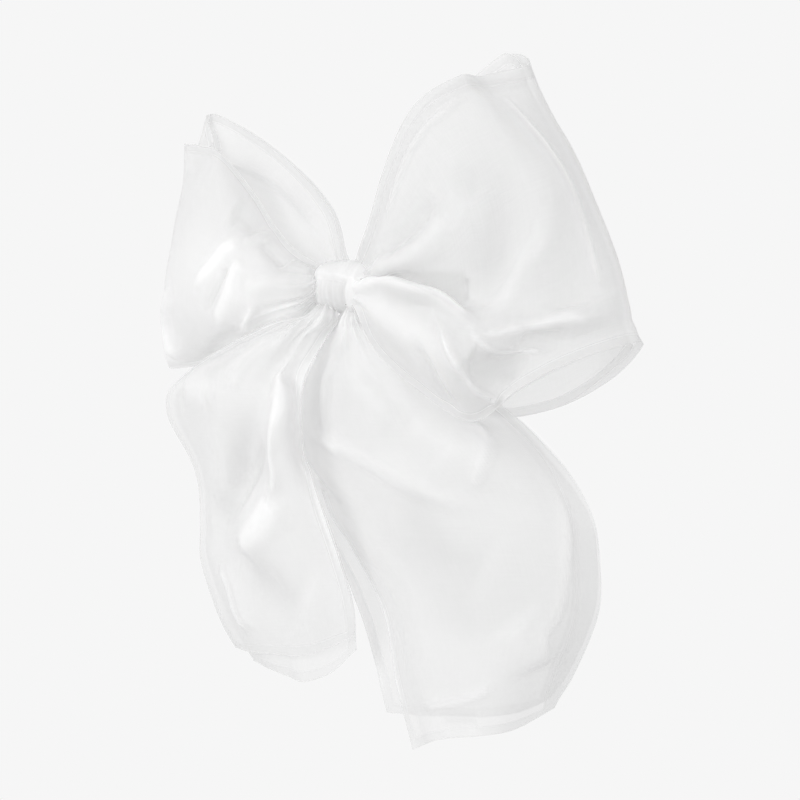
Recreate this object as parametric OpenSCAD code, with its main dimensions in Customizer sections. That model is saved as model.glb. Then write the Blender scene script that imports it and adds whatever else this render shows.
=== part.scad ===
// Large organza hair bow on a French barrette: two open loops, two hanging tails and a wrapped knot.
// X runs along the barrette, +Y points at the head, +Z is up.
// The origin is the middle of the clasp arm's head-side face.

/* [Ribbon] */
// Thickness of one ply of ribbon, with its loft
ply_t = 0.8; // [0.6:0.1:1.0]
// Distance between the middles of the two plies
ply_pitch = 1.6; // [1.4:0.1:2.0]
// How far the tails' shorter ply stops above the longer one, as a share of the tail
ply_step = 0.05; // [0.02:0.01:0.1]

/* [Knot] */
// Radius of the gathered bundle inside the knot
bundle_r = 7.5; // [7:0.5:8]
// Outer radius of the knot band
knot_r = 10.1; // [9.6:0.1:10.1]
// Width of the knot band along the barrette
knot_w = 20; // [18:1:21]
// Radius of the gathering thread
thread_r = 0.35; // [0.3:0.05:0.4]

/* [Plate] */
// Length of the barrette's plate, end to end
plate_l = 81; // [80:0.5:82]
// Width of the plate and of the clasp arm
plate_w = 9; // [9:0.5:10]
// Thickness of the plate
plate_t = 0.8; // [0.6:0.1:0.8]
// Radius of the plate's back face
plate_r = 106; // [104:1:108]
// Thickness of the backing ribbon glued to the plate
backing_t = 1.5; // [1:0.1:1.5]

/* [Clasp] */
// Depth of the hair space between the plate and the arm's head-side face
clasp_d = 10; // [9.8:0.1:10.2]
// Radius of the arm's head-side face
arm_r = 200; // [190:5:210]
// Thickness of the arm
arm_t = 1; // [0.9:0.1:1.1]
// Radius of the hinge pin
pin_r = 0.8; // [0.7:0.1:0.9]
// Radial clearance of the arm's knuckle on the pin
pin_fit = 0.05; // [0.02:0.01:0.08]
// Thickness of the tension bar
bar_t = 0.4; // [0.3:0.1:0.5]

/* [Hidden] */
$fn = 96;
organza = [0.93, 0.93, 0.93];
steel = [0.78, 0.79, 0.8];

// Places that several parts share
plate_cy = plate_r - clasp_d;
knot_y = plate_cy - plate_r - plate_t - backing_t - knot_r - 0.1;
pin_x = -39;
pin_y = 1.2;
ear_t = 0.8;
ear_z = 3.6;
knuckle_r = 1.8;
latch_x = 38;
latch_w = 4;
latch_y = -1.6;
window = [5, 5.8];
hole_x = [14, 19];
hole_r = 1;
strand_r = 0.4;
glue_gap = 0.05;
neck_r = 2.8;
neck_right = [5.5, -25.5, -17.4, -11.2];
neck_left = [-8, -31.5, -15.4, -9.5];
bar_half = 24;

// Ribbon surfaces: rows run along the ribbon, points run across it from its upper edge
LOOP_RIGHT = [
    [[11, -27, 5], [11, -29, 1], [11, -29, -4], [11, -26, -8]],
    [[13, -24, 24], [24, -33, 11], [29, -43, -7], [22, -38, -21]],
    [[19, -16, 58], [45, -33, 34], [54, -45, -8], [43, -40, -38]],
    [[43, -8, 84], [78, -26, 50], [88, -26, -5], [80, -30, -38]],
    [[60, 16, 90], [82, 6, 60], [105, -2, 12], [116, -4, -21]],
    [[45, 31, 97], [62, 24, 58], [82, 14, 10], [100, 4, -35]],
    [[24, 22, 79], [42, 12, 40], [62, 0, -8], [78, 2, -47]],
    [[10, -2, 50], [29, -8, 22], [45, -9, -4], [50, -7, -42]],
    [[11, -19, 5], [11, -17, 1], [11, -17, -4], [11, -19, -8]]];
LOOP_LEFT = [
    [[-11, -27, 5], [-11, -29, 1], [-11, -29, -4], [-11, -27, -8]],
    [[-20, -25, 14], [-20, -34, 5], [-22, -36, -4], [-26, -29, -13]],
    [[-54, -14, 41], [-47, -34, 18], [-49, -38, -8], [-58, -24, -25]],
    [[-82, -5, 61], [-77, -22, 33], [-77, -28, -6], [-84, -18, -33]],
    [[-104, 6, 66], [-104, -1, 34], [-106, -6, -4], [-105, -5, -35]],
    [[-105, 22, 78], [-111, 18, 42], [-112, 10, 0], [-106, 4, -32]],
    [[-66, 16, 66], [-70, 8, 34], [-72, 0, -2], [-72, -5, -24]],
    [[-21, -13, 30], [-26, -14, 16], [-29, -14, 1], [-30, -17, -13]],
    [[-11, -19, 5], [-11, -17, 1], [-11, -17, -4], [-11, -19, -8]]];
TAIL_RIGHT = [
    [[2, -25, -18], [4, -27, -18], [7, -26, -18], [9, -25, -18]],
    [[-6, -24, -26], [9, -30, -28], [24, -27, -29], [36, -18, -29]],
    [[-20, -22, -42], [12, -31, -44], [42, -28, -47], [68, -12, -49]],
    [[-11, -20, -84], [28, -33, -84], [67, -35, -82], [99, -9, -82]],
    [[4, -22, -108], [40, -36, -106], [74, -35, -104], [104, -8, -106]],
    [[21, -25, -140], [52, -37, -138], [78, -34, -136], [99, -9, -138]],
    [[34, -27, -184], [52, -34, -177], [72, -33, -172], [87, -13, -163]]];
TAIL_LEFT = [
    [[-11, -31, -16], [-9, -32, -16], [-7, -33, -16], [-5, -32, -16]],
    [[-42, -33, -29], [-27, -40, -27], [-17, -42, -26], [-9, -38, -27]],
    [[-84, -30, -46], [-52, -44, -44], [-26, -46, -44], [-13, -40, -46]],
    [[-73, -30, -76], [-54, -40, -76], [-28, -42, -76], [-6, -42, -77]],
    [[-70, -29, -110], [-48, -36, -110], [-20, -46, -108], [5, -41, -106]],
    [[-60, -28, -141], [-38, -40, -140], [-12, -45, -136], [11, -38, -128]],
    [[-47, -29, -158], [-28, -37, -163], [-8, -41, -160], [11, -37, -148]]];
steps_along = 4;
steps_across = 4;

// Catmull-Rom curve through a list of points, with n steps between neighbours
function spline_at(p, i, t) =
    let (last = len(p) - 1,
         a = i > 0 ? p[i - 1] : 2 * p[0] - p[1],
         b = p[i],
         c = p[i + 1],
         d = i + 2 <= last ? p[i + 2] : 2 * p[last] - p[last - 1])
    (2 * b + (c - a) * t + (2 * a - 5 * b + 4 * c - d) * t * t + (3 * b - a - 3 * c + d) * t * t * t) / 2;
function spline(p, n) =
    concat([for (i = [0:len(p) - 2], k = [0:n - 1]) spline_at(p, i, k / n)], [p[len(p) - 1]]);
function column(g, j) = [for (row = g) row[j]];
function smooth_grid(g) =
    let (rows = [for (row = g) spline(row, steps_across)],
         cols = [for (j = [0:len(rows[0]) - 1]) spline(column(rows, j), steps_along)])
    [for (i = [0:len(cols[0]) - 1]) column(cols, i)];

// Unit normal of a smoothed grid at row i, point j
function unit(v) = v / norm(v);
function near(k, step, last) = min(max(k + step, 0), last);
function normal(s, i, j) =
    let (m = len(s) - 1, n = len(s[0]) - 1)
    unit(cross(s[near(i, 1, m)][j] - s[near(i, -1, m)][j],
               s[i][near(j, 1, n)] - s[i][near(j, -1, n)]));

// Closed sheet between two offsets from a ribbon surface; cut is the share left off its far end
module sheet(grid, low, high, cut = 0) {
    full = smooth_grid(grid);
    m = round((len(full) - 1) * (1 - cut));
    n = len(full[0]) - 1;
    w = n + 1;
    face = [for (side = [low, high], i = [0:m], j = [0:n]) full[i][j] + side * normal(full, i, j)];
    back = w * (m + 1);
    quads = concat(
        [for (i = [0:m - 1], j = [0:n - 1]) let (a = i * w + j) [a, a + 1, a + w + 1, a + w]],
        [for (i = [0:m - 1], j = [0:n - 1]) let (a = back + i * w + j) [a, a + w, a + w + 1, a + 1]],
        [for (j = [0:n - 1]) [j + 1, j, back + j, back + j + 1]],
        [for (j = [0:n - 1]) let (a = m * w + j) [a, a + 1, back + a + 1, back + a]],
        [for (i = [0:m - 1]) let (a = i * w) [a, a + w, back + a + w, back + a]],
        [for (i = [0:m - 1]) let (a = i * w + n) [a + w, a, back + a, back + a + w]]);
    polyhedron(face, [for (q = quads, k = [1, 2]) [q[0], q[k + 1], q[k]]], convexity = 8);
}
module ply(grid, side, cut = 0) {
    low = side * ply_pitch / 2 - ply_t / 2;
    color(organza) sheet(grid, low, low + ply_t, cut);
}

// Half of the gathered bundle inside the knot, on one side of the middle
module half_bundle(side) {
    color(organza)
        translate([side * knot_w / 4, knot_y, 0]) rotate([0, 90, 0])
            cylinder(h = knot_w / 2, r = bundle_r, center = true);
}
module loop_right_outer_ply() {
    ply(LOOP_RIGHT, -1);
    half_bundle(1);
}
module loop_right_inner_ply() ply(LOOP_RIGHT, 1);
module loop_left_outer_ply() {
    ply(LOOP_LEFT, 1);
    half_bundle(-1);
}
module loop_left_inner_ply() ply(LOOP_LEFT, -1);

// Bound neck that a tail hangs from: place in x and y, then its lowest and highest z
module neck(at) {
    color(organza) translate([at[0], at[1], at[2]]) cylinder(h = at[3] - at[2], r = neck_r);
}
module tail_right_front_ply() {
    ply(TAIL_RIGHT, 1);
    neck(neck_right);
}
module tail_right_back_ply() ply(TAIL_RIGHT, -1, ply_step);
module tail_left_front_ply() {
    ply(TAIL_LEFT, 1, ply_step);
    neck(neck_left);
}
module tail_left_back_ply() ply(TAIL_LEFT, -1);

// Band wrapped round the gathers, barrel-shaped, with its axis along the barrette
module knot_band() {
    inner = bundle_r + 1;
    shoulder = 1.4;
    color(organza)
        translate([0, knot_y, 0]) rotate([0, 90, 0])
            rotate_extrude() difference() {
                union() {
                    translate([inner, -knot_w / 2 + shoulder]) square([knot_r - inner, knot_w - 2 * shoulder]);
                    for (end = [-1, 1])
                        translate([knot_r - shoulder, end * (knot_w / 2 - shoulder)]) circle(shoulder, $fn = 32);
                }
                translate([0, -knot_w]) square([inner, 2 * knot_w]);
            }
}

// Rings of thread: one ring per place along the axis
module thread_ring(r) rotate_extrude() translate([r, 0]) circle(thread_r, $fn = 24);
module loop_thread() {
    color("white")
        for (x = [-0.8, 0, 0.8])
            translate([x, knot_y, 0]) rotate([0, 90, 0]) thread_ring(bundle_r + thread_r);
}
module tail_thread(at) {
    color("white")
        for (turn = [-1, 0, 1])
            translate([at[0], at[1], (at[2] + at[3]) / 2 + 0.8 * turn]) thread_ring(neck_r + thread_r);
}
module tail_thread_right() tail_thread(neck_right);
module tail_thread_left() tail_thread(neck_left);

// Strip bent to an arc about a point on the Y axis, between two radii, as wide as w
module arc_strip(cy, inner, outer, length, w) {
    intersection() {
        translate([0, cy, -w / 2]) difference() {
            cylinder(h = w, r = outer, $fn = 360);
            translate([0, 0, -1]) cylinder(h = w + 2, r = inner, $fn = 360);
        }
        translate([-length / 2, cy - outer - 1, -w]) cube([length, outer, 2 * w]);
    }
}
module backing_ribbon() {
    inner = plate_r + plate_t + glue_gap;
    color([0.9, 0.9, 0.9])
        arc_strip(plate_cy, inner, inner + backing_t - glue_gap, plate_l + 4, plate_w + 5);
}

// Two legs of thread through one side's pair of sewing holes, tied across the plate's back
module stitches(side) {
    tie_end = hole_x[1] + 2 * strand_r;
    tie_y = plate_cy - sqrt(plate_r * plate_r - tie_end * tie_end) + strand_r + glue_gap;
    color("white") {
        for (x = hole_x)
            translate([side * x, tie_y, 0]) rotate([90, 0, 0])
                cylinder(h = 5 + strand_r, r = strand_r, $fn = 24);
        translate([side * (hole_x[0] - 2 * strand_r), tie_y, 0]) rotate([0, side * 90, 0])
            cylinder(h = tie_end - hole_x[0] + 2 * strand_r, r = strand_r, $fn = 24);
    }
}
module stitches_right() stitches(1);
module stitches_left() stitches(-1);

// Stamped plate with two hinge ears, a seat for the latch, sewing holes and two lanced tabs
module base_plate() {
    color(steel) {
        difference() {
            arc_strip(plate_cy, plate_r, plate_r + plate_t, plate_l, plate_w);
            for (side = [-1, 1], x = hole_x)
                translate([side * x, 0, 0]) rotate([90, 0, 0]) cylinder(h = 30, r = hole_r, $fn = 48);
        }
        for (z = [-ear_z - ear_t, ear_z])
            translate([0, 0, z]) linear_extrude(ear_t) difference() {
                union() {
                    translate([pin_x, pin_y]) circle(2);
                    intersection() {
                        translate([pin_x - 1.5, pin_y - 6]) square([4, 6]);
                        translate([0, plate_cy]) circle(plate_r + plate_t / 2, $fn = 360);
                    }
                }
                translate([pin_x, pin_y]) circle(pin_r);
            }
        translate([latch_x - latch_w / 2 - 0.5, latch_y - 2.35, -3]) cube([2, 2.05, 6]);
        for (side = [-1, 1])
            translate([side * (bar_half + 1.2) - 0.6, -7.55, -1.5]) cube([1.2, 1.85, 3]);
    }
}
module hinge_pin() {
    head_r = 1.4;
    head_t = 0.6;
    color(steel) {
        translate([pin_x, pin_y, 0]) cylinder(h = 2 * (ear_z + ear_t), r = pin_r, center = true);
        for (z = [-ear_z - ear_t - head_t, ear_z + ear_t])
            translate([pin_x, pin_y, z]) cylinder(h = head_t, r = head_r);
    }
}

// Leaf that lies between the two lanced tabs and bows towards the arm
module tension_bar() {
    rise = 0.65;
    bow_r = (bar_half * bar_half + rise * rise) / (2 * rise);
    color(steel) arc_strip(bow_r - 6.6, bow_r - bar_t, bow_r, 2 * bar_half, 5);
}

// Arm with a rolled knuckle on the pin, lightening slots and a window for the latch prongs
module clasp_arm() {
    color(steel) difference() {
        union() {
            difference() {
                arc_strip(arm_r, arm_r, arm_r + arm_t, 82, plate_w);
                translate([pin_x - 5, -5, -plate_w]) cube([4.4, 20, 2 * plate_w]);
                for (z = [-plate_w, ear_z - 0.4])
                    translate([pin_x - 2, -5, z]) cube([6, 20, plate_w - ear_z + 0.4]);
            }
            translate([pin_x, pin_y, 0]) cylinder(h = 2 * (ear_z - 0.4), r = knuckle_r, center = true);
        }
        translate([pin_x, pin_y, 0]) cylinder(h = 20, r = pin_r + pin_fit, center = true);
        translate([latch_x - window[0] / 2, -5, -window[1] / 2]) cube([window[0], 20, window[1]]);
        for (x = [-26, 2]) translate([x, -5, -1.2]) cube([24, 20, 2.4]);
    }
}

// Sprung prong with a barb at its tip and a finger tab at its root
module latch_prong() {
    leaf = [1.4, 2.2];
    tip_y = 5.4;
    color(steel) translate([latch_x - latch_w / 2, 0, 0]) rotate([90, 0, 90])
        linear_extrude(latch_w)
            polygon([[latch_y, leaf[0]], [tip_y, leaf[0]], [tip_y, leaf[1]], [tip_y - 1.2, leaf[1] + 0.3],
                     [tip_y - 1.2, leaf[1]], [0.6, leaf[1]], [0.6, 6], [-0.2, 6],
                     [-0.2, leaf[1] + 0.8], [latch_y, leaf[1] + 0.8]]);
}
module latch_prong_upper() latch_prong();
module latch_prong_lower() mirror([0, 0, 1]) latch_prong();

loop_right_outer_ply();
loop_right_inner_ply();
loop_left_outer_ply();
loop_left_inner_ply();
tail_right_front_ply();
tail_right_back_ply();
tail_left_front_ply();
tail_left_back_ply();
knot_band();
loop_thread();
tail_thread_right();
tail_thread_left();
backing_ribbon();
stitches_right();
stitches_left();
base_plate();
hinge_pin();
tension_bar();
clasp_arm();
latch_prong_upper();
latch_prong_lower();
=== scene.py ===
import math

import bpy
import numpy as np
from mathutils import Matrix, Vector


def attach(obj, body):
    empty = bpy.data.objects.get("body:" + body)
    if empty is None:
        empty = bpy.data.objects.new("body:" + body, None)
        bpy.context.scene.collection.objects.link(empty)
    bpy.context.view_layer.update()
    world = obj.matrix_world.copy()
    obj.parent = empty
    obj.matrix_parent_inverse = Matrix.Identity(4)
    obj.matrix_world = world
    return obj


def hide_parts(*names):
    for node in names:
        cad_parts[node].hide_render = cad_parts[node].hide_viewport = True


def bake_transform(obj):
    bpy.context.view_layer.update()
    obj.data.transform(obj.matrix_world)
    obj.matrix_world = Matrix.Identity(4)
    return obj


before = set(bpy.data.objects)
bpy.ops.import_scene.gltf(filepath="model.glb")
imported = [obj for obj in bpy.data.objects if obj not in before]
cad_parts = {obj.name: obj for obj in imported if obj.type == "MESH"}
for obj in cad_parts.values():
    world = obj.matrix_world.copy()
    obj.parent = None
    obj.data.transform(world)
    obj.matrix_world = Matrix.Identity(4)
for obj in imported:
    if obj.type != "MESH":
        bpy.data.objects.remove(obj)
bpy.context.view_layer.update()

MM = 0.001

# Sizes in mm, and the steps that each surface is drawn with, along and across
HEM = 3.6               # hem that the cloth material draws, in its own mm
PLY_GAP = 0.8           # each ply's distance from the middle surface
PLY_PARTING = 0.9       # how much further the plies part away from the gathers
FREE_FROM = 45          # distance from a gather at which the cloth is free of it
MOST_GATHERED = 8       # flat width over gathered width, at most
SWAY = 1.2              # broad unevenness of the cloth
SWAY_CELL = (32, 30)    # length of one of its waves, along and across
RIPPLE = 0.35           # fine unevenness
RIPPLE_CELL = (11, 11)
CREASE_FADE = 0.22      # share of a crease's line over which it fades, at each end
BEAD_RADIUS = 0.24      # rolled edge
BEAD_SIDES = 8
THREAD_PITCH = 0.32     # of the drawn weave
LOOP_STEPS = (300, 120)
TAIL_STEPS = (220, 120)
KNOT_STEPS = (200, 90)

# ---------------------------------------------------------------- ribbon surfaces, in mm
# Each list is a surface: rows run along the ribbon, points run across it.
# A loop starts and ends in the knot, its upper edge first. A tail starts in the knot, its left edge first.
LOOP_RIGHT = [
    [(0, -24, 5), (1, -26, 4), (3, -28, 3), (4, -29, 1), (5, -30, 0), (4, -30, -3), (1, -28, -6)],
    [(4, -24, 8), (8, -28, 6), (11, -30, 4), (13, -31, 2), (14, -33, 0), (13, -33, -4), (9, -31, -7)],
    [(8, -22, 22), (17, -28, 16), (26, -33, 10), (26, -30, 4), (32, -40, 2), (28, -40, -11),
     (19, -34, -22)],
    [(13, -17, 45), (32, -30, 33), (43, -34, 17), (42, -29, 0), (49, -41, -3), (48, -43, -21),
     (38, -36, -37)],
    [(25, -13, 71), (49, -28, 53), (63, -34, 28), (65, -28, -4), (68, -40, -16), (64, -42, -34),
     (62, -34, -50)],
    [(42, -8, 84), (63, -22, 62), (78, -28, 37), (81, -24, -1), (84, -30, -14), (78, -26, -24),
     (80, -30, -38)],
    [(49, 2, 85), (71, -10, 65), (88, -18, 41), (95, -16, -1), (99, -22, -11), (96, -18, -19),
     (97, -20, -28)],
    [(60, 16, 89), (76, 8, 67), (90, 2, 45), (106, -2, 9), (111, -3, -6), (114, -4, -14), (116, -4, -21)],
    [(45, 32, 98), (57, 28, 70), (71, 22, 44), (88, 14, 4), (96, 10, -12), (100, 7, -24), (101, 4, -35)],
    [(24, 24, 81), (36, 22, 62), (50, 14, 36), (65, 3, -4), (70, 1, -20), (74, 1, -34), (78, 2, -48)],
    [(10, 4, 58), (23, -2, 36), (36, -8, 16), (44, -10, 0), (47, -10, -16), (49, -10, -32), (52, -10, -49)],
    [(4, -16, 22), (7, -14, 16), (10, -14, 10), (14, -14, 2), (15, -14, -3), (17, -15, -13),
     (19, -18, -25)],
    [(1, -20, 7), (1, -17, 6), (2, -16, 4), (3, -16, 0), (3, -16, -2), (3, -17, -4), (1, -18, -7)],
]
LOOP_LEFT = [
    [(1, -22, 5), (0, -25, 5), (0, -28, 3), (0, -29, 1), (0, -29, -1), (0, -28, -3), (1, -26, -6)],
    [(-10, -23, 7), (-11, -27, 6), (-11, -30, 4), (-11, -31, 1), (-11, -31, -1), (-12, -29, -4),
     (-12, -26, -6)],
    [(-16, -26, 11), (-15, -32, 7), (-15, -36, 2), (-15, -37, -2), (-17, -36, -5), (-20, -34, -9),
     (-26, -28, -14)],
    [(-32, -22, 20), (-29, -32, 13), (-28, -38, 4), (-29, -40, -4), (-33, -38, -9), (-37, -34, -14),
     (-47, -24, -19)],
    [(-54, -14, 41), (-48, -28, 28), (-46, -36, 12), (-45, -40, -3), (-48, -38, -13), (-53, -32, -20),
     (-62, -22, -27)],
    [(-75, -8, 59), (-69, -20, 43), (-66, -30, 21), (-65, -34, 0), (-65, -34, -16), (-70, -28, -26),
     (-76, -20, -32)],
    [(-89, -2, 63), (-86, -12, 44), (-86, -20, 22), (-85, -24, 0), (-86, -24, -16), (-89, -20, -27),
     (-93, -14, -34)],
    [(-104, 6, 66), (-104, 2, 45), (-104, -4, 22), (-105, -8, 0), (-106, -8, -16), (-106, -8, -27),
     (-105, -6, -35)],
    [(-97, 16, 66), (-109, 11, 48), (-110, 6, 22), (-110, 2, 0), (-111, 0, -16), (-109, -1, -26),
     (-107, -1, -34)],
    [(-104, 22, 81), (-111, 20, 51), (-112, 16, 23), (-111, 11, 0), (-112, 8, -16), (-110, 6, -25),
     (-106, 4, -32)],
    [(-88, 24, 75), (-87, 18, 48), (-85, 10, 20), (-84, 4, 0), (-85, 2, -14), (-85, 0, -20),
     (-83, -2, -27)],
    [(-50, 8, 56), (-52, 0, 37), (-53, -6, 15), (-55, -8, 0), (-56, -9, -9), (-58, -10, -15),
     (-57, -12, -21)],
    [(-16, -12, 34), (-21, -13, 23), (-26, -14, 11), (-29, -14, 3), (-31, -14, -4), (-31, -15, -9),
     (-31, -17, -14)],
    [(-4, -20, 13), (-9, -17, 9), (-12, -16, 5), (-13, -15, 2), (-14, -15, 0), (-15, -16, -3),
     (-14, -19, -5)],
    [(2, -21, 5), (0, -18, 5), (0, -17, 3), (0, -16, 1), (0, -16, -1), (0, -17, -3), (1, -20, -5)],
]
TAIL_RIGHT = [
    [(3, -24, -5), (3, -25, -5), (4, -26, -5), (6, -26, -5), (7, -26, -5), (8, -25, -5)],
    [(-6, -20, -13), (1, -29, -13), (4, -31, -13), (7, -31, -13), (10, -30, -13), (11, -26, -13)],
    [(-18, -18, -22), (-6, -26, -20), (5, -33, -23), (15, -35, -25), (24, -30, -26), (32, -20, -25)],
    [(-14, -13, -42), (-21, -22, -41), (5, -36, -41), (28, -40, -43), (45, -28, -47), (66, -10, -49)],
    [(-21, -14, -68), (-24, -21, -67), (10, -34, -65), (38, -40, -65), (65, -34, -61), (84, -9, -66)],
    [(-11, -21, -90), (1, -27, -89), (18, -32, -87), (50, -38, -84), (78, -28, -84), (100, -9, -86)],
    [(1, -22, -104), (12, -28, -104), (29, -34, -103), (60, -40, -102), (84, -28, -102), (104, -8, -105)],
    [(19, -24, -128), (29, -30, -127), (43, -36, -125), (68, -40, -124), (88, -28, -124), (103, -8, -126)],
    [(27, -26, -159), (36, -31, -156), (49, -36, -152), (69, -38, -148), (84, -28, -145), (94, -11, -150)],
    [(34, -26, -184), (41, -30, -180), (51, -34, -175), (68, -36, -171), (79, -26, -169), (86, -13, -162)],
]
TAIL_LEFT = [
    [(-10, -27, -5), (-9, -28, -5), (-8, -28, -5), (-7, -28, -5), (-6, -27, -5)],
    [(-14, -32, -12), (-11, -36, -12), (-8, -37, -12), (-5, -36, -12), (-2, -29, -12)],
    [(-35, -34, -17), (-22, -42, -17), (-14, -44, -17), (-11, -40, -18), (-5, -33, -20)],
    [(-78, -30, -38), (-50, -44, -34), (-29, -46, -34), (-19, -42, -34), (-12, -38, -37)],
    [(-88, -28, -53), (-53, -46, -50), (-32, -44, -49), (-16, -50, -49), (-14, -40, -62)],
    [(-73, -30, -76), (-52, -40, -75), (-44, -30, -76), (-17, -50, -69), (-6, -42, -77)],
    [(-70, -30, -99), (-55, -34, -100), (-32, -44, -94), (-16, -48, -91), (1, -42, -92)],
    [(-70, -28, -117), (-50, -36, -114), (-28, -46, -110), (-9, -46, -109), (6, -40, -108)],
    [(-60, -28, -141), (-38, -40, -136), (-17, -46, -132), (-1, -44, -129), (11, -38, -127)],
    [(-47, -28, -159), (-30, -36, -160), (-12, -42, -160), (1, -40, -155), (11, -36, -145)],
]

# Creases: height in mm (+ is outward), painted tone (+ is a painted highlight, - is painted shade),
# half-width in mm, sharp or soft, and (row, point) places along it, counted on the surface's grid. A height
# of 0 only paints light and shade.
FOLDS_RIGHT = [
    # crest of the lower flap, and the deep crease just above it
    (3.0, 1.0, 3.2, True, [(0.8, 4.0), (1.6, 3.95), (2.4, 4.1), (3.2, 3.95), (3.8, 3.95), (4.2, 4.1)]),
    (-3.8, -0.4, 4.0, False, [(1.4, 3.2), (2.0, 3.4), (2.7, 3.5), (3.3, 3.5), (3.8, 3.6)]),
    (-2.2, -0.9, 1.6, True, [(1.5, 3.6), (2.0, 3.75), (2.8, 3.8), (3.4, 3.65)]),
    # the flap hangs lower than the cloth round it; it is painted whiter there as a painted highlight, and
    # drawn denser
    (0.6, 0.7, 9.0, False, [(1.0, 4.8), (2.0, 4.9), (3.0, 5.1), (3.8, 5.6)]),
    # ridge and hollow beside the knot
    (2.2, 0.4, 5.0, False, [(1.2, 1.8), (1.9, 1.9), (2.8, 2.0), (3.3, 1.9), (3.6, 1.8)]),
    (-3.0, -0.5, 4.5, False, [(1.9, 1.5), (2.5, 1.5), (3.1, 1.5), (3.5, 1.4)]),
    # wide shallow hollow across the middle, and the streak to its right
    (-4.0, -0.5, 9.0, False, [(3.7, 1.5), (4.2, 1.6), (4.7, 1.8), (4.6, 2.1), (4.3, 2.6), (3.9, 3.1)]),
    (1.8, 0.4, 5.0, False, [(5.7, 2.1), (5.4, 2.5), (4.9, 2.7), (4.5, 3.0), (4.1, 3.6), (4.0, 4.0)]),
    # two folds that run out to the right from the end of the crest
    (2.4, 1.0, 2.6, True, [(3.8, 4.1), (4.4, 4.05), (5.2, 4.0), (5.9, 4.0), (6.6, 4.3)]),
    (2.4, 1.0, 2.4, True, [(3.7, 4.1), (4.1, 4.25), (4.7, 4.7), (5.2, 5.1), (5.7, 5.5)]),
    (-1.6, -0.35, 5.0, False, [(4.8, 4.3), (5.3, 4.5), (6.0, 4.8)]),
    # sunk lens between the second fold and the lower rim
    (-4.5, -1.0, 6.5, False, [(3.8, 4.7), (4.2, 4.8), (4.7, 5.2), (5.1, 5.7)]),
    # left boundary of the lower opening, and the sunk strip beside it
    (3.6, 1.0, 2.2, True, [(3.0, 4.3), (3.5, 4.6), (3.9, 4.85), (4.2, 5.3), (4.5, 5.8), (4.6, 6.0)]),
    (-1.8, -0.4, 3.0, False, [(2.6, 5.1), (3.1, 5.3), (3.5, 5.6), (3.8, 5.9)]),
    # where the front turns back to the rim
    (1.4, 0.6, 2.4, True, [(6.0, 0.3), (6.1, 1.0), (6.2, 1.7), (6.4, 2.3), (6.5, 2.9), (6.5, 3.5)]),
    (1.2, 0.5, 2.0, True, [(5.0, 0.3), (4.3, 0.5), (3.6, 0.5), (3.0, 0.6), (2.4, 0.8)]),
]
FOLDS_LEFT = [
    (1.5, 0.8, 3.4, False, [(3.9, 1.6), (4.3, 1.9), (4.7, 2.5), (5.2, 3.1)]),
    (1.5, 0.8, 3.0, False, [(3.8, 1.9), (4.0, 2.4), (4.1, 3.2), (4.4, 4.2)]),
    (-1.4, -0.5, 2.6, False, [(4.2, 2.2), (4.4, 2.8), (4.7, 3.6)]),
    # painted highlight along the lower rim and at the lower corner
    (0.0, 0.8, 7.0, False, [(1.2, 5.4), (2.2, 5.5), (3.4, 5.5), (4.8, 5.5)]),
    (0.0, 1.0, 9.0, False, [(5.8, 4.6), (6.6, 5.0), (7.4, 5.2), (8.2, 5.4)]),
    (0.0, 0.4, 24.0, False, [(2.6, 2.4), (4.0, 2.4), (6.0, 2.6), (7.6, 2.6)]),
    # painted highlight where the lower pleats meet the knot, which also draws the cloth denser there
    (0.0, 0.6, 8.0, False, [(0.9, 4.0), (1.6, 4.5), (2.4, 4.6), (3.2, 5.0)]),
    (-3.0, -0.5, 6.0, False, [(3.5, 0.8), (4.0, 0.9), (4.4, 1.2)]),
    (-2.2, -0.4, 3.5, False, [(2.6, 1.1), (3.1, 1.0), (3.5, 0.9)]),
    (2.0, 0.8, 2.4, True, [(3.2, 3.2), (3.4, 4.0), (3.6, 5.2)]),
    (1.4, 0.3, 3.5, False, [(1.2, 1.6), (2.0, 1.7), (3.0, 2.2), (3.8, 3.0)]),
    (3.4, 0.5, 7.0, False, [(6.2, 3.0), (6.6, 3.6), (6.4, 4.6), (6.2, 5.5)]),
    # back layer: long light fold down from its upper corner, sunk, with painted shade along it
    (-2.2, -0.9, 2.6, True, [(9.2, 0.9), (10.2, 0.7), (11.2, 0.7), (12.2, 0.9)]),
]
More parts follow.
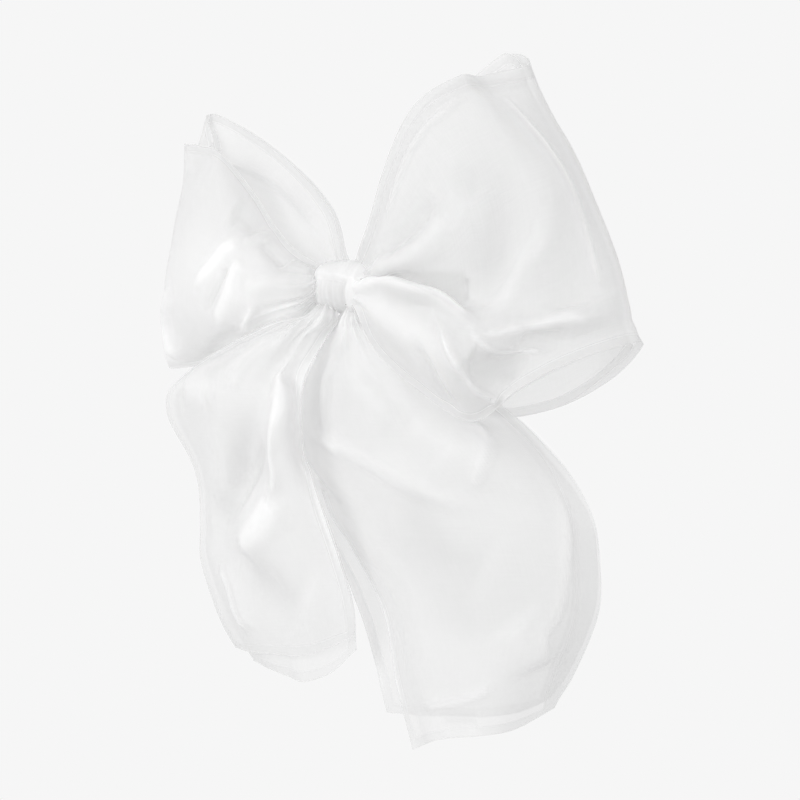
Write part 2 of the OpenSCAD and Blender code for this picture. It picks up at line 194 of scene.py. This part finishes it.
FOLDS_TAIL_RIGHT = [
    (0.0, -0.6, 26.0, False, [(4.2, 2.6), (5.4, 2.8), (6.6, 3.0), (7.8, 3.0)]),
    (0.0, 0.9, 8.0, False, [(1.0, 1.6), (1.6, 1.2), (2.2, 1.1), (3.0, 1.1), (4.0, 1.2), (5.0, 0.7)]),
    (1.0, 1.0, 2.2, True, [(1.6, 1.0), (2.2, 0.9), (2.8, 0.85), (3.3, 0.95), (3.9, 1.0)]),
    (0.5, 1.0, 3.2, True, [(4.4, 0.5), (5.0, 0.1), (6.0, 0.05), (7.0, 0.05), (8.0, 0.05), (8.8, 0.05)]),
    (1.6, 0.5, 3.5, False, [(3.6, 1.3), (3.8, 1.6), (4.0, 2.0), (4.3, 2.5), (4.8, 3.1), (5.0, 3.8)]),
    (1.6, 0.5, 3.0, False, [(3.2, 4.2), (3.6, 4.2), (4.0, 4.1), (4.4, 3.8), (4.7, 3.5)]),
    (-1.8, -0.4, 9.0, False, [(3.4, 2.6), (3.8, 3.1), (4.2, 3.4)]),
    (-2.0, -0.4, 14.0, False, [(5.4, 2.2), (6.0, 2.8), (6.4, 3.4)]),
    (1.5, 0.6, 2.4, True, [(8.4, 1.3), (8.4, 2.2), (8.3, 2.9), (8.1, 3.3)]),
    (-1.6, -0.3, 3.0, False, [(8.8, 2.0), (8.8, 3.0)]),
    (2.5, 0.5, 10.0, False, [(7.0, 3.5), (7.6, 3.9), (8.0, 4.2)]),
    (1.6, 0.6, 2.6, True, [(4.5, 4.7), (5.4, 4.6), (6.2, 4.5), (7.0, 4.3), (7.4, 4.1), (8.2, 4.4)]),
    (-1.4, -0.3, 5.0, False, [(2.2, 2.6), (3.0, 3.0), (3.6, 3.4)]),
    (1.3, 0.3, 4.0, False, [(2.1, 1.9), (2.8, 1.7), (3.6, 1.7), (4.4, 1.9)]),
]
FOLDS_TAIL_LEFT = [
    (0.0, 0.45, 20.0, False, [(3.0, 2.0), (4.2, 2.0), (5.6, 2.2), (7.2, 2.4)]),
    (0.5, 1.0, 2.8, True, [(2.6, 3.95), (3.6, 3.95), (4.6, 3.95), (5.6, 3.95), (6.8, 3.95), (8.6, 3.95)]),
    (3.0, 1.0, 2.2, True, [(2.4, 2.9), (3.2, 2.9), (4.0, 3.0), (4.8, 3.0), (5.4, 3.0), (5.9, 2.7)]),
    (3.4, 1.0, 5.5, False, [(5.5, 3.0), (5.9, 2.7), (6.2, 2.3), (6.5, 1.9), (6.9, 1.4)]),
    (2.8, 0.5, 8.0, False, [(3.2, 0.4), (3.5, 0.7), (3.6, 1.2)]),
    (-3.0, -0.8, 7.0, False, [(4.4, 2.6), (5.0, 2.3), (5.4, 1.8), (5.7, 1.1), (5.9, 0.5)]),
    (-2.2, -0.7, 12.0, False, [(7.2, 1.2), (7.5, 2.0), (7.9, 2.8)]),
    (2.0, 0.8, 2.2, True, [(7.0, 0.7), (7.4, 0.8), (7.9, 0.8), (8.3, 1.0)]),
    (-1.0, -0.1, 3.0, False, [(2.4, 3.5), (3.2, 3.5), (4.2, 3.5)]),
    (0.0, 0.8, 8.0, False, [(0.9, 2.6), (1.6, 3.2), (2.6, 3.6), (4.0, 3.8), (5.4, 3.9)]),
    (1.4, 0.3, 3.0, False, [(2.1, 1.6), (2.8, 1.5), (3.6, 1.6)]),
]


def weights(count, steps):
    """Catmull-Rom weights that carry count values to steps even places along them."""
    t = np.linspace(0, count - 1, steps)
    i = np.minimum(t.astype(int), count - 2)
    f = t - i
    w = np.zeros((steps, count + 2))
    at = np.arange(steps)
    w[at, i] += (-f + 2 * f**2 - f**3) / 2
    w[at, i + 1] += (2 - 5 * f**2 + 3 * f**3) / 2
    w[at, i + 2] += (f + 4 * f**2 - 3 * f**3) / 2
    w[at, i + 3] += (-f**2 + f**3) / 2
    # the places before the first value and after the last run straight on
    w[:, 1] += 2 * w[:, 0]
    w[:, 2] -= w[:, 0]
    w[:, -2] += 2 * w[:, -1]
    w[:, -3] -= w[:, -1]
    return w[:, 1:-1]


def smooth(grid, along, across):
    """Smooth surface through the grid's points, with along times across points."""
    g = np.array(grid, float)
    return np.einsum("ia,abk,jb->ijk", weights(g.shape[0], along), g, weights(g.shape[1], across))


def unit(v):
    """Vectors along the last axis, brought to length 1."""
    return v / np.maximum(np.linalg.norm(v, axis=-1, keepdims=True), 1e-9)


def normals(p):
    return unit(np.cross(np.gradient(p, axis=0), np.gradient(p, axis=1)))


def travel(p, axis):
    """Distance along the surface from its first row or column."""
    step = np.linalg.norm(np.diff(p, axis=axis), axis=2)
    start = np.zeros_like(np.take(step, [0], axis=axis))
    return np.cumsum(np.concatenate([start, step], axis=axis), axis=axis)


def noise(seed, shape, cells):
    """Smooth random field, about -1 to 1, with cells waves along each way."""
    rng = np.random.default_rng(seed)
    g = rng.uniform(-1, 1, (cells[0] + 3, cells[1] + 3))
    return weights(g.shape[0], shape[0] + 2)[1:-1] @ g @ weights(g.shape[1], shape[1] + 2)[1:-1].T


def fold(p, grid_rows, width, sharp, line, rows, cols):
    """Profile of one crease: 1 along its line, falling off to the sides and towards its ends."""
    n, m = p.shape[:2]
    line = weights(len(line), 12 * len(line)) @ np.array(line, float)
    i = np.clip(line[:, 0] / (rows - 1) * (n - 1), 0, n - 1.001)
    j = np.clip(line[:, 1] / (cols - 1) * (m - 1), 0, m - 1.001)
    i0, j0 = i.astype(int), j.astype(int)
    a, b = (i - i0)[:, None], (j - j0)[:, None]
    near_side = (1 - b) * p[i0, j0] + b * p[i0, j0 + 1]
    far_side = (1 - b) * p[i0 + 1, j0] + b * p[i0 + 1, j0 + 1]
    path = (1 - a) * near_side + a * far_side
    near = (grid_rows >= line[:, 0].min() - 1.5) & (grid_rows <= line[:, 0].max() + 1.5)
    pts = p[near]
    a, b = path[:-1], path[1:]
    ab = b - a
    t = np.einsum("nsk,sk->ns", pts[:, None] - a[None], ab) / np.maximum((ab * ab).sum(1), 1e-9)
    t = np.clip(t, 0, 1)
    d = np.linalg.norm(pts[:, None] - (a[None] + t[..., None] * ab[None]), axis=2)
    k = d.argmin(1)
    every = np.arange(len(k))
    share = (k + t[every, k]) / len(a)
    taper = np.clip(np.minimum(share, 1 - share) / CREASE_FADE, 0, 1)
    taper = taper * taper * (3 - 2 * taper)
    if line[0][0] <= 1.01:
        # a crease that starts in the gathers is at full strength there
        taper = np.where(share < 0.5, 1, np.clip((1 - share) / 0.3, 0, 1))
    dist = d[every, k]
    if sharp:
        # the crest itself is rounded over 0.7 mm
        shape = np.exp((0.7 - np.sqrt(dist**2 + 0.49)) / (0.55 * width))
    else:
        shape = np.exp(-((dist / width) ** 2))
    out = np.zeros((n, m))
    out[near] = taper * shape
    return out


def gathers(u, d, seed, deep):
    """Pleats that run out of a gather: u is 0 to 1 across the ribbon, d the mm from the gather."""
    rng = np.random.default_rng(seed)
    total = np.zeros_like(u)
    for count, reach, share in ((7, 20, 1.0), (3.85, 44, 0.75), (2.1, 85, 0.55)):
        bend = sum(
            rng.uniform(-0.5, 0.5) * np.sin(k * np.pi * u + rng.uniform(0, 6.3)) for k in (1, 2, 3)
        )
        wander = rng.uniform(-1, 1) * d / 90
        wave = np.cos(2 * np.pi * count * u + 2.2 * bend + wander + rng.uniform(0, 6.3))
        grown = np.clip(d / (reach * 0.5), 0.12, 1)
        total += share * grown * np.exp(-((d / reach) ** 1.6)) * (wave + 0.25 * wave**2 - 0.1)
    return deep * total


def ribbon(grid, outward, folds, hems, steps, seed, width, deep, both_ends):
    """Ribbon surface with pleats, creases and soft unevenness, and each point's place on the flat cloth."""
    rows, cols = len(grid), len(grid[0])
    n, m = steps
    p = smooth(grid, n, m)
    r = np.repeat(np.linspace(0, rows - 1, n)[:, None], m, 1)
    u = np.repeat(np.linspace(0, 1, m)[None], n, 0)
    run = np.repeat(travel(p, 0).mean(1)[:, None], m, 1)
    ends = [run, run.max() - run] if both_ends else [run]
    out = normals(p) * outward
    lift = np.zeros((n, m))
    for k, d in enumerate(ends):
        lift += gathers(u, d, seed + 7 * k, deep)
    # painted light: each crease's painted tone paints a highlight along a ridge and shade along a hollow into
    # the cloth's colour
    painted_light = np.zeros((n, m))
    for height, painted_tone, half_width, sharp, line in folds:
        shape = fold(p, r, half_width, sharp, line, rows, cols)
        lift += height * shape
        painted_light += painted_tone * shape ** (3 if sharp else 1.5)
    free = np.clip(np.min(ends, axis=0) / FREE_FROM, 0, 1)
    for k, (height, cell) in enumerate(((SWAY, SWAY_CELL), (RIPPLE, RIPPLE_CELL))):
        cells = int(run.max() / cell[0]), int(width / cell[1])
        lift += free * height * noise(seed + 31 + k, (n, m), cells)
    p = p + out * lift[..., None]
    across = travel(p, 1)
    stretch = np.minimum(width / across[:, -1:].clip(1), MOST_GATHERED)
    first, last = (np.interp(r[:, :1], *zip(*side)) for side in hems)
    return {
        "p": p,
        "out": out,
        "cloth": np.stack([across * stretch, run], axis=2),
        "edge": HEM * np.minimum(across / first, (across[:, -1:] - across) / last),
        "run": run,
        "free": free,
        "painted_light": np.clip(painted_light, -1, 1),
    }


def grid_faces(n, m, closed=False):
    """Quads over n rows of m points. Closed rows join their last point to their first."""
    a = np.arange(n * m).reshape(n, m)
    if closed:
        a = np.concatenate([a, a[:, :1]], axis=1)
    q = np.stack([a[:-1, :-1], a[1:, :-1], a[1:, 1:], a[:-1, 1:]], axis=-1)
    return q.reshape(-1, 4).tolist()


def add_mesh(name, co, faces, material):
    """New smooth object from points in metres."""
    mesh = bpy.data.meshes.new(name)
    mesh.from_pydata(co, [], faces)
    mesh.update()
    mesh.materials.append(material)
    mesh.polygons.foreach_set("use_smooth", np.ones(len(mesh.polygons), bool))
    obj = bpy.data.objects.new(name, mesh)
    bpy.context.scene.collection.objects.link(obj)
    return obj


def cloth_piece(name, q, cloth, edge, painted_light, material):
    """Cloth object: UVs are places on the flat cloth, attributes the distance from its edge and its painted
    light and shade.
    """
    n, m = q.shape[:2]
    obj = add_mesh(name, (q.reshape(-1, 3) * MM).tolist(), grid_faces(n, m), material)
    mesh = obj.data
    layer = mesh.uv_layers.new(name="cloth")
    corners = np.empty(len(mesh.loops), int)
    mesh.loops.foreach_get("vertex_index", corners)
    layer.data.foreach_set("uv", (cloth.reshape(-1, 2) * MM)[corners].ravel())
    for label, values in (("edge_mm", edge), ("painted_light", painted_light)):
        attribute = mesh.attributes.new(label, "FLOAT", "POINT")
        attribute.data.foreach_set("value", values.ravel().astype(np.float32))
    return obj


def bead(path):
    """Points and faces of a thin round bead along a path."""
    t = unit(np.gradient(path, axis=0))
    side = unit(np.cross(t, np.array([0.3, 0.2, 0.93])))
    up = np.cross(t, side)
    turn = np.linspace(0, 2 * np.pi, BEAD_SIDES, endpoint=False)[None, :, None]
    round_path = BEAD_RADIUS * (np.cos(turn) * side[:, None] + np.sin(turn) * up[:, None])
    co = (path[:, None] + round_path).reshape(-1, 3)
    faces = grid_faces(len(path), BEAD_SIDES, closed=True)
    first = list(range(BEAD_SIDES))[::-1]
    last = list(range(len(co) - BEAD_SIDES, len(co)))
    return co, faces + [first, last]


def beads(name, paths):
    """One object made of a bead along each path."""
    co, faces, at = [], [], 0
    for path in paths:
        c, f = bead(path)
        faces += [[k + at for k in face] for face in f]
        co.append(c)
        at += len(c)
    return add_mesh(name, (np.concatenate(co) * MM).tolist(), faces, ROLLED)


# ---------------------------------------------------------------- materials
def new_material(name):
    material = bpy.data.materials.new(name)
    material.use_nodes = True
    material.node_tree.nodes.clear()
    return material, material.node_tree


def set_or_link(tree, socket, value):
    if isinstance(value, bpy.types.NodeSocket):
        tree.links.new(value, socket)
    else:
        socket.default_value = value


def node(tree, kind, **settings):
    """New shader node. A setting is a property, or an input with _ for each space: a value or a socket."""
    made = tree.nodes.new("ShaderNode" + kind)
    for key, value in settings.items():
        if hasattr(made, key):
            setattr(made, key, value)
        else:
            set_or_link(tree, made.inputs[key.replace("_", " ")], value)
    return made


def math_node(tree, operation, *values, clamp=False):
    made = node(tree, "Math", operation=operation, use_clamp=clamp)
    for socket, value in zip(made.inputs, values):
        set_or_link(tree, socket, value)
    return made.outputs[0]


def noise_node(tree, where, stretch, detail, scale=1.0):
    """Noise texture over coordinates that are first stretched."""
    mapping = node(tree, "Mapping", Vector=where, Scale=stretch)
    made = node(tree, "TexNoise", Vector=mapping.outputs["Vector"], Scale=scale, Detail=detail)
    return made.outputs["Fac"]


def shades(tree, value, tint, low, high, places=(0.0, 1.0)):
    """The tint at its low level up to the first place, running to its high level at the last."""
    ramp = node(tree, "ValToRGB", Fac=value)
    for stop, place, level in zip(ramp.color_ramp.elements, places, (low, high)):
        stop.position = place
        stop.color = (*[min(c * level, 1.0) for c in tint], 1)
    return ramp.outputs["Color"]


def bumped(tree, height, strength, depth):
    return node(tree, "Bump", Height=height, Strength=strength, Distance=depth).outputs["Normal"]


def mixed(tree, share, first, second):
    """Two shaders mixed, by the share of the second."""
    mix = node(tree, "MixShader")
    for socket, value in zip(mix.inputs, (share, first, second)):
        set_or_link(tree, socket, value)
    return mix.outputs[0]


def organza(name, level, cover, hem_cover, painted_hem_tone=0.0, hem_mm=HEM):
    """Sheer woven cloth. Cover is the share of its area that threads fill, when seen straight on."""
    material, tree = new_material(name)

    def calc(operation, *values, clamp=False):
        return math_node(tree, operation, *values, clamp=clamp)

    def scaled_sum(first, *parts):
        for part, weight in parts:
            first = calc("ADD", first, calc("MULTIPLY", part, weight))
        return first

    place = node(tree, "UVMap", uv_map="cloth").outputs["UV"]
    edge_mm = node(tree, "Attribute", attribute_name="edge_mm").outputs["Fac"]
    # painted light and shade of the creases and the knot, as a tone from -1 to 1
    painted_light = node(tree, "Attribute", attribute_name="painted_light").outputs["Fac"]

    # threads of uneven thickness both ways, and their grid
    warp = noise_node(tree, place, (1500, 45, 1), 2)
    weft = noise_node(tree, place, (50, 1500, 1), 2)
    threads = calc("SUBTRACT", calc("ADD", warp, weft), 1.0)
    cloudy = calc("SUBTRACT", noise_node(tree, place, (38, 38, 1), 3), 0.5)
    split = node(tree, "SeparateXYZ", Vector=place)
    thread_waves = 2 * math.pi / (THREAD_PITCH * MM)
    across, along = (calc("COSINE", calc("MULTIPLY", split.outputs[way], thread_waves)) for way in "XY")
    weave = calc("MULTIPLY", across, along)

    hem = calc("LESS_THAN", edge_mm, hem_mm)
    half_seam = 0.25
    seam = calc("LESS_THAN", calc("ABSOLUTE", calc("SUBTRACT", edge_mm, hem_mm - half_seam)), half_seam)
    # a painted highlight also draws the cloth denser there
    painted_highlight = calc("MAXIMUM", painted_light, 0.0)
    filled = scaled_sum(cover, (hem, hem_cover - cover), (seam, 0.12), (threads, 0.025))
    filled = scaled_sum(filled, (weave, 0.03), (painted_highlight, 0.4), (cloudy, 0.06))
    filled = calc("MINIMUM", calc("MAXIMUM", filled, 0.05), 0.95)

    # a slanting look passes more threads
    facing = node(tree, "LayerWeight", Blend=0.5).outputs["Facing"]
    straight = calc("MAXIMUM", calc("SUBTRACT", 1.0, facing), 0.16)
    clear = calc("POWER", calc("SUBTRACT", 1.0, filled), calc("DIVIDE", 1.0, straight))
    density = calc("SUBTRACT", 1.0, clear, clamp=True)

    crinkle = noise_node(tree, place, (150, 110, 1), 4)
    relief = calc("ADD", calc("MULTIPLY", threads, 0.1), calc("MULTIPLY", crinkle, 0.5))
    normal = bumped(tree, relief, 0.22, 0.0004)
    # painted light: the painted tone makes the cloth whiter on ridges, a painted highlight, and greyer in
    # hollows and along the hems, painted shade
    painted_tone = scaled_sum(painted_light, (hem, painted_hem_tone))
    white = shades(tree, scaled_sum(0.5, (painted_tone, 0.5)), (level, level, level), 0.87, 1.065)
    cloth = node(
        tree, "BsdfPrincipled", Base_Color=white, Normal=normal, Roughness=scaled_sum(0.37, (warp, 0.1)),
        Sheen_Weight=0.18, Sheen_Roughness=0.4, Specular_IOR_Level=0.4,
    )
    through = node(tree, "BsdfTranslucent", Color=white, Normal=normal)
    lit = mixed(tree, 0.42, cloth.outputs[0], through.outputs[0])
    gaps = node(tree, "BsdfTransparent").outputs[0]
    node(tree, "OutputMaterial", Surface=mixed(tree, density, gaps, lit))
    return material


def twisted(name, level, scale, relief, cover=None):
    """Twisted thread, or a rolled edge that lets light by: fine slanting ribs with a slight tone."""
    material, tree = new_material(name)
    tint = (level, level, level)
    where = node(tree, "TexCoord").outputs["Object"]
    waves = node(tree, "TexWave", Vector=where, Scale=scale, Distortion=2.0, bands_direction="DIAGONAL")
    ribs = waves.outputs["Fac"]
    shader = node(
        tree, "BsdfPrincipled", Roughness=0.45, Sheen_Weight=0.3,
        Base_Color=shades(tree, ribs, tint, 1 - 0.2 * relief, 1.0), Normal=bumped(tree, ribs, relief, 0.0001),
    ).outputs[0]
    if cover is not None:
        through = node(tree, "BsdfTranslucent", Color=(*tint, 1)).outputs[0]
        gaps = node(tree, "BsdfTransparent").outputs[0]
        shader = mixed(tree, cover, gaps, mixed(tree, 0.5, shader, through))
    node(tree, "OutputMaterial", Surface=shader)
    return material


def steel(name, tint, rough, grain):
    """Plated steel with brushed grain and light handling marks."""
    material, tree = new_material(name)
    where = node(tree, "TexCoord").outputs["Object"]
    brushed = noise_node(tree, where, (120, 2600, 2600), 3)
    smudge = node(tree, "TexNoise", Vector=where, Scale=160, Detail=4).outputs["Fac"]
    uneven = math_node(tree, "ADD", math_node(tree, "MULTIPLY", brushed, grain), rough)
    uneven = math_node(tree, "ADD", uneven, math_node(tree, "MULTIPLY", smudge, 0.12))
    metal = node(
        tree, "BsdfPrincipled", Metallic=1.0, Roughness=uneven, Normal=bumped(tree, brushed, 0.12, 0.00005),
        Base_Color=shades(tree, smudge, tint, 0.86, 1.0, places=(0.35, 0.65)),
    )
    node(tree, "OutputMaterial", Surface=metal.outputs[0])
    return material


def satin(name, tint):
    """Backing ribbon: close satin weave with ribs along it."""
    material, tree = new_material(name)
    where = node(tree, "TexCoord").outputs["Object"]
    ribs = noise_node(tree, where, (300, 3000, 3000), 2)
    cloth = node(
        tree, "BsdfPrincipled", Roughness=0.38, Sheen_Weight=0.4,
        Base_Color=shades(tree, ribs, tint, 0.9, 1.0), Normal=bumped(tree, ribs, 0.4, 0.0001),
    )
    node(tree, "OutputMaterial", Surface=cloth.outputs[0])
    return material


# the hem tone darkens the hems as painted shade, strongly on the loops and slightly on the tails
LOOP_CLOTH = organza("organza_loops", 0.935, 0.32, 0.50, painted_hem_tone=-0.5)
TAIL_CLOTH = organza("organza_tails", 0.925, 0.40, 0.56, painted_hem_tone=-0.15)
# the knot's organza is painted lighter than the loops' and tails', painted light against the shade among the
# gathers; its higher cover stands for the layers wrapped there
KNOT_CLOTH = organza("organza_knot", 0.99, 0.80, 0.90, hem_mm=0.0)
ROLLED = twisted("organza_rolled_edge", 0.97, 900, relief=0.05, cover=0.4)
THREAD = twisted("sewing_thread", 0.92, 1600, relief=0.5)
PLATED = steel("nickel_plated_steel", (0.62, 0.62, 0.63), 0.2, 0.2)
SPRING = steel("bright_spring_steel", (0.66, 0.67, 0.69), 0.1, 0.1)
BACKING = satin("backing_satin", (0.82, 0.82, 0.81))


# ---------------------------------------------------------------- loops and tails
def shorten(values, stops):
    """Rows of a field squeezed towards the first row, by shares that run from its first edge to its last."""
    n, m = values.shape[:2]
    flat = values.reshape(n, m, -1)
    out = np.empty_like(flat)
    for j, share in enumerate(np.linspace(*stops, m)):
        at = np.linspace(0, (n - 1) * share, n)
        for k in range(flat.shape[2]):
            out[:, j, k] = np.interp(at, np.arange(n), flat[:, j, k])
    return out.reshape(values.shape)


def add_ply(stem, surface, side, seed, material, stops=(1.0, 1.0), spread=None, hem_end=False):
    """One ply of a ribbon and its rolled edge: the surface moved out or in, unevenly far from its neighbour.

    A spread moves the ply's first edge: (x, y) in mm, then (place along, share of that move) pairs.
    """
    n, m = surface["p"].shape[:2]
    part = PLY_GAP + surface["free"] * PLY_PARTING * (1 + noise(seed, (n, m), (7, 4)))
    q = surface["p"] + side * surface["out"] * part[..., None]
    if spread:
        (x, y), *along = spread
        share = np.interp(np.linspace(0, 1, n), *zip(*along))[:, None] * np.linspace(1, 0, m)[None] ** 2.5
        q = q + share[..., None] * np.array([x, y, 0.0])
    cloth, edge, run, painted_light = (surface[field] for field in ("cloth", "edge", "run", "painted_light"))
    q, cloth, edge, run, painted_light = (shorten(v, stops) for v in (q, cloth, edge, run, painted_light))
    paths = [q[:, 0], q[:, -1]]
    if hem_end:
        edge = np.minimum(edge, run[-1:] - run)
        paths.append(q[-1])
    obj = cloth_piece(stem + "_cloth", q, cloth, edge, painted_light, material)
    bead_obj = beads(stem + "_edge", paths)
    return obj, bead_obj


def add_loop(tag, grid, outward, folds, hems, seed, flat):
    """Both plies of a loop, on the root body."""
    surface = ribbon(grid, outward, folds, hems, LOOP_STEPS, seed, flat[0] / MM, 0.85, both_ends=True)
    for k, (part, side) in enumerate((("outer", 1), ("inner", -1))):
        obj, edge = add_ply(f"loop_{tag}_{part}", surface, side, seed + 50 + k, LOOP_CLOTH)
        for piece in (obj, edge):
            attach(piece, "root")
        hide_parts(f"loop_{tag}_{part}_ply")


def add_tail(tag, grid, folds, hems, seed, plies):
    """Both plies of a tail, hanging from under the knot; its pieces are left in world space.

    Plies are (flat size, how far along the tail its two edges end, spread), the front one first.
    """
    width = plies[0][0][0] / MM
    surface = ribbon(grid, 1, folds, hems, TAIL_STEPS, seed, width, 0.9, both_ends=False)
    for k, (part, side, (flat, stops, spread)) in enumerate(zip(("front", "back"), (1, -1), plies)):
        stem = f"tail_{tag}_{part}"
        obj, edge = add_ply(stem, surface, side, seed + 50 + k, TAIL_CLOTH, stops, spread, hem_end=True)
        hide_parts(stem + "_ply")
        for piece in (obj, edge):
            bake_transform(piece)


# Hem widths in mm as (row, width) for the first and last edge of each surface
NARROW = [(0, 3.6), (20, 3.6)]
WIDE_MOUTH = [(0, 4), (2, 7), (6, 8), (8, 5), (12, 4)]
WIDE_END = [(0, 3), (3, 5), (6, 11), (8, 10), (9, 6)]
# Beside the right tail's left edge its back ply shows as a strip, widest near four fifths of its length
STRIP = ((-17, 5), (0.3, 0), (0.42, 0.6), (0.6, 0.85), (0.68, 1.1), (0.78, 1.15), (0.88, 0.8), (1.0, 0.85))
add_loop("right", LOOP_RIGHT, -1, FOLDS_RIGHT, (WIDE_MOUTH, NARROW), 11, (0.125, 0.25))
add_loop("left", LOOP_LEFT, 1, FOLDS_LEFT, (NARROW, NARROW), 23, (0.105, 0.25))
add_tail("right", TAIL_RIGHT, FOLDS_TAIL_RIGHT, (NARROW, WIDE_END), 37,
         (((0.13, 0.19), (1.0, 1.0), None), ((0.13, 0.18), (0.95, 0.985), STRIP)))
add_tail("left", TAIL_LEFT, FOLDS_TAIL_LEFT, (NARROW, NARROW), 41,
         (((0.096, 0.165), (0.955, 0.955), None), ((0.096, 0.175), (1.0, 1.0), None)))


# ---------------------------------------------------------------- knot
def rise(v, soft):
    """Soft step from 0 to 1 where v passes 0."""
    return 1 / (1 + np.exp(-np.clip(v / soft, -40, 40)))


def add_knot():
    """Strip round the gathers: a roll along its top, a sunk panel at its lower left, a raised right lobe,
    with painted highlights on the roll and lobe and painted shade in the panel.
    """
    radius, half_width, middle_y, turns_round = 9.6, 13, -22.5, 1.06
    turn = np.linspace(0, 2 * np.pi * turns_round, KNOT_STEPS[0])
    tt, xx = np.meshgrid(turn, np.linspace(-12.5, half_width, KNOT_STEPS[1]), indexing="ij")
    # turn 0 is at the back, half a turn is the front; z is up
    y, z = np.cos(tt), np.sin(tt)
    front = np.clip(-y, 0, 1)
    roll = rise(z * 9.5 - 3.6 + 0.14 * xx, 0.35)
    lobe = rise(xx - 5.0 - 0.6 * z, 0.3) * (1 - roll)
    panel = front * (1 - roll) * (1 - lobe) * rise(xx + 9, 1.5)
    r = radius + 1.5 * front + 1.7 * roll + 1.5 * front * lobe - 1.0 * panel
    r += 0.13 * np.cos(xx * 1.3 + 2.2 * np.sin(tt)) + 0.09 * np.cos(xx * 2.4 - 2.1 * np.cos(tt) + 1)
    r += 0.3 * noise(71, r.shape, (8, 5))
    # the rims close in, and the strip's end lies over its start
    r -= 3.2 * np.abs(xx / half_width) ** 5
    r += 0.7 * (tt / turn[-1]) ** 4
    co = np.stack([xx + 0.5 * np.sin(tt) + 0.3 * np.cos(2 * tt), middle_y + r * y, r * z], axis=2)
    # painted light: a painted highlight along the roll and the right lobe, painted shade in the sunk panel,
    # and the whole strip painted a little whiter
    painted_highlight = 2.4 * roll * (1 - roll) + 0.5 * roll + 1.1 * lobe * (1 - 0.6 * rise(xx - 6.5, 0.8))
    painted_tone = np.clip(painted_highlight + 0.35 - 0.5 * panel, -1, 1)
    no_hem = np.full(r.shape, 9.0)
    obj = cloth_piece("knot_cloth", co, np.stack([xx, tt * 9.5], axis=2), no_hem, painted_tone, KNOT_CLOTH)
    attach(obj, "root")
    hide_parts("knot_band")


add_knot()

# ---------------------------------------------------------------- CAD nodes that stay
for name, material in (
    ("loop_thread", THREAD),
    ("tail_thread_right", THREAD),
    ("tail_thread_left", THREAD),
    ("stitches_right", THREAD),
    ("stitches_left", THREAD),
    ("backing_ribbon", BACKING),
    ("base_plate", PLATED),
    ("hinge_pin", PLATED),
    ("clasp_arm", PLATED),
    ("tension_bar", SPRING),
    ("latch_prong_upper", SPRING),
    ("latch_prong_lower", SPRING),
):
    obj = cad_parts[name]
    obj.data.materials.clear()
    obj.data.materials.append(material)


# ---------------------------------------------------------------- stage, light and camera
def pale_stage(name, co, faces):
    """Plain pale surface that the camera sees; the world alone lights the bow round it."""
    material, tree = new_material(name + "_paint")
    glow = node(tree, "Emission", Color=(0.922, 0.922, 0.922, 1))
    node(tree, "OutputMaterial", Surface=glow.outputs[0])
    mesh = bpy.data.meshes.new(name)
    mesh.from_pydata(co, [], faces)
    mesh.materials.append(material)
    obj = bpy.data.objects.new(name, mesh)
    bpy.context.scene.collection.objects.link(obj)
    obj.visible_diffuse = False
    obj.visible_shadow = False
    obj.visible_transmission = False


REACH, DROP = 6.0, 0.3
corners = [(x * REACH, y * REACH, -DROP) for x, y in ((-1, -1), (1, -1), (1, 1), (-1, 1))]
pale_stage("floor", corners, [(0, 1, 2, 3)])
turns, rises = 48, 12
dome = [
    (REACH * math.cos(a) * math.cos(b), REACH * math.sin(a) * math.cos(b), REACH * math.sin(b) - DROP)
    for b in np.linspace(-0.05, math.pi / 2, rises)
    for a in np.linspace(0, 2 * math.pi, turns, endpoint=False)
]
pale_stage("backdrop", dome, grid_faces(rises, turns, closed=True))

world = bpy.data.worlds.new("studio")
bpy.context.scene.world = world
world.use_nodes = True
back = world.node_tree.nodes["Background"]
back.inputs["Color"].default_value = (0.735, 0.735, 0.735, 1)
back.inputs["Strength"].default_value = 1.0

TARGET = Vector((0.020, -0.016, -0.045))
DISTANCE = 0.6
VIEW_WIDTH = 0.325   # what the picture spans at the target
SENSOR = 36
turned, raised = math.radians(30), math.radians(4)
toward = Vector((math.sin(turned) * math.cos(raised), -math.cos(turned) * math.cos(raised), math.sin(raised)))
right = Vector((math.cos(turned), math.sin(turned), 0))
above = toward.cross(right)


def aim(obj, place):
    obj.location = place
    obj.rotation_euler = (TARGET - place).to_track_quat("-Z", "Y").to_euler()
    bpy.context.scene.collection.objects.link(obj)


def soft_light(name, place, size, power):
    data = bpy.data.lights.new(name, "AREA")
    data.shape = "DISK"
    data.size = size
    data.energy = power
    aim(bpy.data.objects.new(name, data), place)


soft_light("key", TARGET - 0.9 * right + 0.8 * toward + 0.35 * above, 0.7, 5.6)
soft_light("front_fill", TARGET + 0.1 * right + 1.2 * toward + 0.25 * above, 1.0, 2.4)

camera_data = bpy.data.cameras.new("camera")
camera_data.sensor_width = SENSOR
camera_data.lens = SENSOR / (VIEW_WIDTH / DISTANCE)
camera = bpy.data.objects.new("camera", camera_data)
aim(camera, TARGET + DISTANCE * toward)
bpy.context.scene.camera = camera
bpy.context.scene.view_settings.view_transform = "Standard"
bpy.context.scene.cycles.transparent_max_bounces = 48
bpy.context.scene.cycles.max_bounces = 20
bpy.context.scene.cycles.diffuse_bounces = 12
